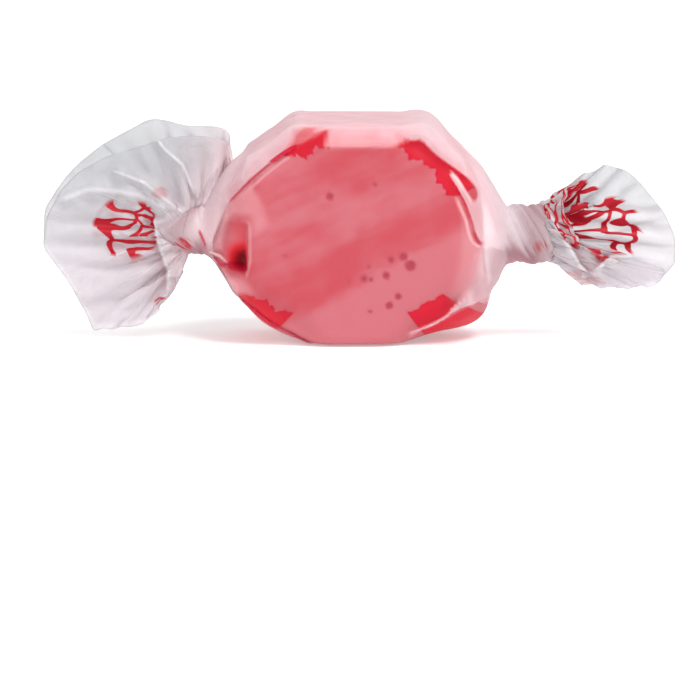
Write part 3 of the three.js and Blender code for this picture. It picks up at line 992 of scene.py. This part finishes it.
def laid_depth(x, y, z):
    """How far inside the laid stretches of the paper a place is, and how soft their border is there."""
    height, half_depth, half_width = LAID_BELOW
    less, top, fade = LAID_TOP
    depth = np.minimum(np.minimum(height - z, half_depth - np.abs(y)), half_width - np.abs(x))
    soft = np.full(len(x), LAID_BELOW_SOFT)
    for side in (1, -1):
        seen = z + VIEW_SLOPE * (side * y - FRONT_FACE)
        facing = -side * y - LAID_BACK - less * ramp(z, top, fade)
        if side < 0:
            facing = np.minimum(facing, LAID_BACK_TOP - z)
        for corners in LAID:
            inside, border = within(corners, side * x, seen)
            inside = np.minimum(inside, facing)
            soft = np.where(inside > depth, border, soft)
            depth = np.maximum(inside, depth)
    return depth, soft


def faded_ends(along, length):
    """Fades out over a share of a line's length at both its ends."""
    return smooth(along / length) * smooth((1 - along) / length)


def crease_lift(creases, x, seen):
    lift = np.zeros(len(x))
    for corners, height, width in creases:
        away, _, along, _ = along_line(corners, x, seen)
        rounded = np.exp(-((away / width) ** 2) * CREASE_SHARPNESS)
        lift += height * faded_ends(along, CREASE_ENDS) * rounded
    return lift


def overlap_lift(x, seen):
    """How far folded edges stand out of the loose paper, and how shaded the paper beside them is."""
    lift, shade = np.zeros(len(x)), np.zeros(len(x))
    for corners, height, width in OVERLAPS:
        away, side, along, _ = along_line(corners, x, seen)
        over = side * away
        ends = faded_ends(along, OVERLAP_ENDS)
        step = smooth(over / OVERLAP_STEP + 0.5) * np.exp(-np.maximum(over, 0) / width)
        shaded = smooth(0.5 - over / OVERLAP_STEP) * np.exp(-away / OVERLAP_SHADE)
        lift = np.maximum(lift, height * ends * step)
        shade = np.maximum(shade, ends * shaded)
    return lift, shade


def nearest_line(lines, x, seen):
    """How far points are from the nearest of some drawn lines, in half widths, and its strength there."""
    best, across, strength = (np.full(len(x), start) for start in (FAR, FAR_ACROSS, 0.0))
    for corners, strong, width in lines:
        away, side, along, _ = along_line(corners, x, seen)
        shown = strong * faded_ends(along, LINE_ENDS) * (1 - ramp(away, LINE_FADE, LINE_NEAR - LINE_FADE))
        nearer = away < best
        best = np.where(nearer, away, best)
        across = np.where(nearer, side * away / width, across)
        strength = np.where(nearer, shown, strength)
    return across, strength


def note(piece, name, values):
    """Keeps a value for each point of a piece, for its material."""
    layer = piece.data.attributes.new(name, "FLOAT", "POINT")
    layer.data.foreach_set("value", np.asarray(values, np.float32))


def crinkle(piece, points, out, turn, last_half):
    """Presses and notes sharp creases that run out from each twist."""
    crinkles = np.ones(len(points))
    for i, vert in enumerate(piece.data.vertices):
        if out[i] <= 0:
            continue
        angle = 2 * math.pi * turn[i]
        along = Vector((0, 0, CRINKLE_CHANGE * out[i] + last_half[i] * CRINKLE_OTHER_END))
        crinkles[i] = noise.noise(Vector((math.cos(angle), math.sin(angle), 0)) * CRINKLES + along)
        sharp = max(1 - abs(crinkles[i]) / CRINKLE_WIDTH, 0) - CRINKLE_BELOW
        shown = min(out[i] * CRINKLE_START, 1) * (CRINKLE_END - out[i])
        points[i] += np.array(vert.normal) * sharp * CRINKLE_DEPTH * shown
    note(piece, "crinkle", crinkles)


def lay_down(points, candy, laid, lift, out):
    """Moves the paper onto the candy where it is laid and lifts its creases.

    Returns how far each point stands off the candy, and how near it is to it, from 0 to 1.
    """
    mesh = candy.data
    tree = BVHTree.FromPolygons([v.co / MM for v in mesh.vertices], [p.vertices for p in mesh.polygons])
    stands, glow = np.zeros(len(points)), np.zeros(len(points))
    for i, point in enumerate(points):
        spot = Vector(point)
        near, normal, _, away = tree.find_nearest(spot)
        if away < SUNK_REACH and (spot - near).dot(normal) < 0:
            away = 0.0
        stand = away * float(ramp(away, *CLINGING))
        if away < LAID_REACH:
            stand *= 1 - laid[i] * float(smooth(LAID_REACH - away))
            outward = (spot - near).normalized() if away > CLINGING[0] else normal
            points[i] = near + outward * (PAPER_GAP + stand)
        if out[i] > FAN_LIFTED:
            points[i, 1] -= lift[i]
        else:
            points[i] += np.array(normal) * max(lift[i], -LEAST_GAP - stand)
        stands[i] = stand
        glow[i] = math.exp(-away / GLOW_REACH)
    return stands, glow


def note_lines(piece, x, seen, facing, fan_front, on_top):
    """Notes where the paper's white folds, partly painted highlights, and its red slits, partly painted
    shade, are drawn.
    """
    for name, lines, elsewhere in (("fold", WHITE_FOLDS_AND_HIGHLIGHTS, fan_front), ("slit", RED_SLITS_AND_SHADE, on_top)):
        across, strength = nearest_line(lines, x, seen)
        note(piece, name, across)
        note(piece, name + " strength", strength * np.maximum(facing, elsewhere))


def note_shade(piece, x, y, seen, downward, out, fan_front):
    """Notes where the paper is in shade: underneath, in its twists, beside folded edges and below folds."""
    under = ramp(downward, *UNDER_SLANT) * ramp(np.abs(x), *UNDER_FROM) * smooth(-out / UNDER_TO_FAN)
    twisted = smooth(1 - np.abs(out - TWIST_AT) / TWIST_REACH)
    beside = overlap_lift(x, seen)[1] * fan_front
    below = soft_areas(SHADED, x, seen) * ramp(-y, *BELOW_FROM)
    shares = (UNDER_SHADE * under, TWIST_SHADE * twisted, BESIDE_SHADE * beside, below)
    note(piece, "shade", np.max(shares, axis=0))


def fit_paper(piece, candy, last_row):
    """Lays the paper on the candy, creases it, and notes how it looks where."""
    points = get_points(piece.data) / MM
    up = np.array([v.normal.z for v in piece.data.vertices])
    row, turn = place_on_sheet(piece)
    out = (FAN_ROWS - np.minimum(row, last_row - row)) / FAN_ROWS
    last_half = row > last_row / 2
    crinkle(piece, points, out, turn, last_half)
    x, y, z = points.T
    seen = z + VIEW_SLOPE * (y - FRONT_FACE)
    facing = ramp(-y, *FRONT_FROM) * (out < FRONT_TO_NECK)
    twist = np.where(last_half, RIGHT["turn"][1], LEFT["turn"][1]) / 2
    layer = np.abs((turn + twist) % 1 - 0.5)
    fan_front = smooth((LAYER_SHARE - layer) / LAYER_SOFT) * smooth(out / FAN_FROM)
    in_fan = crease_lift(FAN_CREASES, x, seen) + overlap_lift(x, seen)[0]
    lift = crease_lift(CREASES, x, seen) * facing + in_fan * fan_front
    points[:, 1] += facing * [pocket_depth(*place) for place in zip(x, z)]
    laid = smooth(laid_depth(x, y, z)[0] / LAID_EDGE + 0.5)
    before_back = smooth((TOP_DEPTH[0] - y) / TOP_DEPTH[1])
    on_top = ramp(up, *TOP_SLANT) * before_back * ramp(z, *TOP_HEIGHT)
    stands, glow = lay_down(points, candy, laid, lift, out)
    set_points(piece.data, points * MM)

    seen = z + VIEW_SLOPE * (y - FRONT_FACE)
    depth, soft = laid_depth(x, y, z)
    haze = PAPER_LOOSE + (PAPER_NEAR - PAPER_LOOSE) * glow
    haze *= CLINGING_HAZE + (1 - CLINGING_HAZE) * smooth(stands / CLINGING_TO)
    note(piece, "laid", depth / soft)
    note(piece, "haze", haze * (1 + RIGHT_HAZE * smooth(x / RIGHT_TO) * glow))
    note(piece, "veil", soft_areas(VEILS, x, seen) * facing)
    note(piece, "glow", glow)
    note(piece, "out", out)
    note_lines(piece, x, seen, facing, fan_front, on_top)
    note_shade(piece, x, y, seen, -up, out, fan_front)
    piece.data.shade_smooth()


def new_material(name):
    material = bpy.data.materials.new(name)
    material.use_nodes = True
    tree = material.node_tree
    tree.nodes.clear()
    return material, tree


def feed(tree, socket, value):
    """Gives an input a link or a value."""
    if isinstance(value, bpy.types.NodeSocket):
        tree.links.new(value, socket)
    else:
        socket.default_value = value


def add(tree, kind, inputs=None, **settings):
    """Adds a shader node, with values or links for its inputs, by name or by place."""
    node = tree.nodes.new("ShaderNode" + kind)
    set_all(node, settings)
    for key, value in (inputs or {}).items():
        feed(tree, node.inputs[key], value)
    return node


def calc(tree, operation, *values):
    return add(tree, "Math", dict(enumerate(values)), operation=operation).outputs[0]


def span(tree, value, low, high, to_low=0.0, to_high=1.0):
    """Maps a value from one span to another, softly."""
    names = {"Value": value, "From Min": low, "From Max": high, "To Min": to_low, "To Max": to_high}
    return add(tree, "MapRange", names, interpolation_type="SMOOTHSTEP").outputs[0]


def mix_colour(tree, share, first, second):
    """Mixes two colours. A Mix node's inputs for colours are its first, seventh and eighth."""
    node = add(tree, "Mix", data_type="RGBA")
    for place, value in ((0, share), (6, first), (7, second)):
        feed(tree, node.inputs[place], value)
    return node.outputs[2]


def noise_at(tree, place, scale, detail):
    return add(tree, "TexNoise", {"Vector": place, "Scale": scale, "Detail": detail}).outputs


def noted(tree, name):
    """A value that a piece has noted for each of its points."""
    return add(tree, "Attribute", attribute_name=name).outputs["Fac"]


def finish_material(tree, shader):
    add(tree, "OutputMaterial", {"Surface": shader.outputs[0]})


def streak_group():
    """The streaks and the fine grain of pulled candy, for each of its colours."""
    group = bpy.data.node_groups.new("pulled streaks", "ShaderNodeTree")
    for name in ("Light", "Deep"):
        group.interface.new_socket(name, in_out="INPUT", socket_type="NodeSocketColor")
    for name, kind in (("Colour", "Color"), ("Height", "Float")):
        group.interface.new_socket(name, in_out="OUTPUT", socket_type="NodeSocket" + kind)
    given = group.nodes.new("NodeGroupInput")
    result = group.nodes.new("NodeGroupOutput")
    place = add(group, "TexCoord").outputs["Object"]
    turned = {"Vector": place, "Rotation": (0, -STREAK_TURN, 0), "Scale": STREAK_SIZE}
    along = add(group, "Mapping", turned, vector_type="TEXTURE").outputs[0]
    tone = 0.0
    for where, scale, detail, share in ((along, *BROAD_STREAKS), (along, *FINE_STREAKS), (place, *CLOUDS)):
        tone = calc(group, "MULTIPLY_ADD", noise_at(group, where, scale, detail)[0], share, tone)
    up = add(group, "SeparateXYZ", {0: along}).outputs[2]
    middle, width, strength = BAND
    off = calc(group, "ABSOLUTE", calc(group, "SUBTRACT", up, middle))
    band = span(group, off, 0.0, width, strength, 0.0)
    tone = calc(group, "SUBTRACT", calc(group, "ADD", tone, span(group, up, *LOW)), band)
    colour = mix_colour(group, span(group, tone, *TONE_SPAN), given.outputs["Deep"], given.outputs["Light"])
    group.links.new(colour, result.inputs["Colour"])
    group.links.new(noise_at(group, place, *GRAIN)[0], result.inputs["Height"])
    return group


def candy_material(name, streaks, light, deep, bubble):
    material, tree = new_material(name)
    pulled = add(tree, "Group")
    pulled.node_tree = streaks
    pulled.inputs["Light"].default_value = light
    pulled.inputs["Deep"].default_value = deep
    hollow = noted(tree, "hollow")
    colour = mix_colour(tree, noted(tree, "bubble"), pulled.outputs["Colour"], bubble)
    # Painted shade: the candy turns a darker red deeper in its pocket
    for (start, end), sunk in zip(HOLLOW_SHADE_SPANS, (HOLLOW_SHADE_RED, HOLLOW_SHADE_DARK)):
        colour = mix_colour(tree, span(tree, hollow, start, end), colour, sunk)
    bump = add(tree, "Bump", {"Height": pulled.outputs["Height"], **GRAIN_BUMP})
    shader = add(tree, "BsdfPrincipled", {"Base Color": colour, "Normal": bump.outputs[0], **CANDY_SURFACE})
    finish_material(tree, shader)
    return material


def printed(tree, place):
    """How strongly the print covers a spot: loose red curls beside each twist."""
    paper = add(tree, "UVMap", uv_map="sheet").outputs[0]
    sized = add(tree, "Mapping", {"Vector": paper, "Scale": PRINT_SIZE}).outputs[0]
    sway = noise_at(tree, sized, PRINT_SWAY_SCALE, 0.0)[1]
    swayed = add(tree, "VectorMath", {0: sway, 1: PRINT_SWAY, 2: sized}, operation="MULTIPLY_ADD").outputs[0]
    curls = {"Vector": swayed, "Scale": PRINT_LOOPS}
    loops = add(tree, "TexVoronoi", curls, feature="DISTANCE_TO_EDGE", voronoi_dimensions="2D")
    stroke = span(tree, loops.outputs["Distance"], *PRINT_STROKE, 1.0, 0.0)
    cover = 0.0
    for centre, reach, strength in PRINTS:
        away = add(tree, "VectorMath", {0: place, 1: [c * MM for c in centre]}, operation="DISTANCE")
        near = span(tree, away.outputs["Value"], (reach - PRINT_BORDER) * MM, reach * MM, strength, 0.0)
        cover = calc(tree, "MAXIMUM", near, cover)
    return calc(tree, "MULTIPLY", stroke, cover)


def drawn_line(tree, name):
    """How strongly a drawn line of the paper shows at a spot."""
    across = calc(tree, "ABSOLUTE", noted(tree, name))
    line = span(tree, across, 0.0, LINE_BLUR, 1.0, 0.0)
    return calc(tree, "MULTIPLY", line, noted(tree, name + " strength"))


def paper_haze(tree, place, loose, fold):
    """How much one wall of the paper hides at a spot, seen straight on."""
    veil = calc(tree, "ADD", noted(tree, "veil"), PAPER_CLEAR)
    haze = add(tree, "Mix", {"Factor": loose, "A": veil, "B": noted(tree, "haze")}).outputs[0]
    haze = calc(tree, "MULTIPLY", haze, span(tree, noise_at(tree, place, *MOTTLE)[0], *MOTTLE_SPAN))
    haze = calc(tree, "MAXIMUM", haze, calc(tree, "MULTIPLY", fold, FOLD_HAZE))
    crinkle = calc(tree, "ABSOLUTE", noted(tree, "crinkle"))
    return calc(tree, "MAXIMUM", haze, span(tree, crinkle, 0.0, CRACK_WIDTH, CRACK_HAZE, 0.0))


def paper_hides(tree, haze):
    """How much a wall of the paper hides, which is more where it is seen at a slant."""
    facing = add(tree, "LayerWeight", {"Blend": 0.5}).outputs["Facing"]
    straight = calc(tree, "MAXIMUM", calc(tree, "SUBTRACT", 1.0, facing), PAPER_SLANT)
    clear = calc(tree, "POWER", calc(tree, "SUBTRACT", 1.0, haze), calc(tree, "DIVIDE", 1.0, straight))
    return calc(tree, "SUBTRACT", 1.0, clear)


def paper_colour(tree, place, loose, fold):
    """The colour of the bare paper at a spot."""
    up = add(tree, "SeparateXYZ", {0: place}).outputs[2]
    glow = noted(tree, "glow")
    # Painted shade: the paper turns greyer towards the top
    colour = mix_colour(tree, span(tree, up, *GREY_SHADE_HEIGHTS), PAPER_WHITE, PAPER_GREY)
    colour = mix_colour(tree, span(tree, noted(tree, "out"), *GREY_EDGE), colour, PAPER_GREY)
    # Painted light: the paper turns pink near the candy, for the candy's light in it
    colour = mix_colour(tree, glow, colour, PAINTED_PINK_GLOW)
    colour = mix_colour(tree, noted(tree, "shade"), colour, PAPER_SHADE)
    colour = mix_colour(tree, loose, VEIL_PINK, colour)
    # White folds: wax turned white with painted highlights, cream near the candy
    fold_highlight = mix_colour(tree, span(tree, glow, *HIGHLIGHT_CREAM_SPAN), FOLD_HIGHLIGHT_WHITE, FOLD_HIGHLIGHT_CREAM)
    return mix_colour(tree, fold, colour, fold_highlight)


def paper_material():
    material, tree = new_material("waxed_paper")
    place = add(tree, "TexCoord").outputs["Object"]
    loose = span(tree, noted(tree, "laid"), -1.0, 1.0, 1.0, 0.0)
    fold, slit, ink = drawn_line(tree, "fold"), drawn_line(tree, "slit"), printed(tree, place)
    hides = paper_hides(tree, paper_haze(tree, place, loose, fold))
    shown = calc(tree, "MAXIMUM", hides, calc(tree, "MAXIMUM", ink, slit))
    slit = calc(tree, "DIVIDE", slit, calc(tree, "MAXIMUM", shown, 0.001))
    shadow = add(tree, "LightPath").outputs["Is Shadow Ray"]
    shown = calc(tree, "MULTIPLY", shown, span(tree, shadow, 0.0, 1.0, 1.0, PAPER_SHADOW))
    colour = mix_colour(tree, ink, paper_colour(tree, place, loose, fold), PRINT_RED)
    # Slits: the candy's red with painted shade in the fold
    colour = mix_colour(tree, slit, colour, SLIT_SHADE_RED)
    body = add(tree, "BsdfPrincipled", {"Base Color": colour, **PAPER_SURFACE})
    through = add(tree, "BsdfTranslucent", {"Color": colour})
    share = span(tree, noted(tree, "glow"), *PAPER_THROUGH)
    sheet = add(tree, "MixShader", {0: share, 1: body.outputs[0], 2: through.outputs[0]})
    gap = add(tree, "BsdfTransparent")
    finish_material(tree, add(tree, "MixShader", {0: shown, 1: gap.outputs[0], 2: sheet.outputs[0]}))
    return material


def dress(piece, material, slot, *nodes):
    piece.data.materials.clear()
    piece.data.materials.append(material)
    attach(piece, "root")
    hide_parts(*nodes)


def aim(thing, spot):
    thing.rotation_euler = (Vector(spot) - thing.location).to_track_quat("-Z", "Y").to_euler()


def area_light(name, place, size, power):
    light = bpy.data.lights.new(name, "AREA")
    light.size = size
    light.energy = power
    lamp = bpy.data.objects.new(name, light)
    lamp.location = place
    aim(lamp, LIT_SPOT)
    bpy.context.scene.collection.objects.link(lamp)


def make_surroundings():
    """A white world, a little dimmer as a light than as it is seen."""
    scene = bpy.context.scene
    scene.view_settings.view_transform = "Standard"
    scene.cycles.transparent_max_bounces = 32
    scene.cycles.max_bounces = 12
    scene.world = bpy.data.worlds.new("studio")
    scene.world.use_nodes = True
    tree = scene.world.node_tree
    tree.nodes.clear()
    lights = (WORLD_LIGHT, WORLD_SEEN)
    around, behind = (add(tree, "Background", {"Color": WHITE, "Strength": light}) for light in lights)
    seen = add(tree, "LightPath").outputs["Is Camera Ray"]
    both = add(tree, "MixShader", {0: seen, 1: around.outputs[0], 2: behind.outputs[0]})
    add(tree, "OutputWorld", {"Surface": both.outputs[0]})


def make_floor():
    bm = bmesh.new()
    bmesh.ops.create_grid(bm, x_segments=1, y_segments=1, size=FLOOR_SIZE)
    floor = new_object("floor", bm)
    material, tree = new_material("floor")
    finish_material(tree, add(tree, "BsdfPrincipled", FLOOR_SURFACE))
    floor.data.materials.append(material)


def make_camera():
    data = bpy.data.cameras.new("camera")
    data.sensor_width = SENSOR_WIDTH
    data.lens = SENSOR_WIDTH * CAMERA_DISTANCE / VIEW_WIDTH
    data.clip_start, data.clip_end = CAMERA_CLIP
    camera = bpy.data.objects.new("camera", data)
    target = Vector(CAMERA_TARGET)
    camera.location = target + CAMERA_DISTANCE * Vector((0, -math.cos(VIEW_ANGLE), math.sin(VIEW_ANGLE)))
    aim(camera, target)
    bpy.context.scene.collection.objects.link(camera)
    bpy.context.scene.camera = camera


whole, pink, stripes = make_candy()
paper = make_paper(whole)
bpy.data.objects.remove(whole)

streaks = streak_group()
pink_material = candy_material("pink_candy", streaks, *PINK)
red_material = candy_material("red_candy", streaks, *RED)
dress(pink, pink_material, "pink_taffy", "taffy_body")
for (name, *_), stripe in zip(STRIPES, stripes):
    dress(stripe, red_material, "red_taffy", name)
dress(paper, paper_material(), "waxed_paper", "wrapper")

make_surroundings()
make_floor()
for name, *lamp in LIGHTS:
    area_light(name, *lamp)
make_camera()
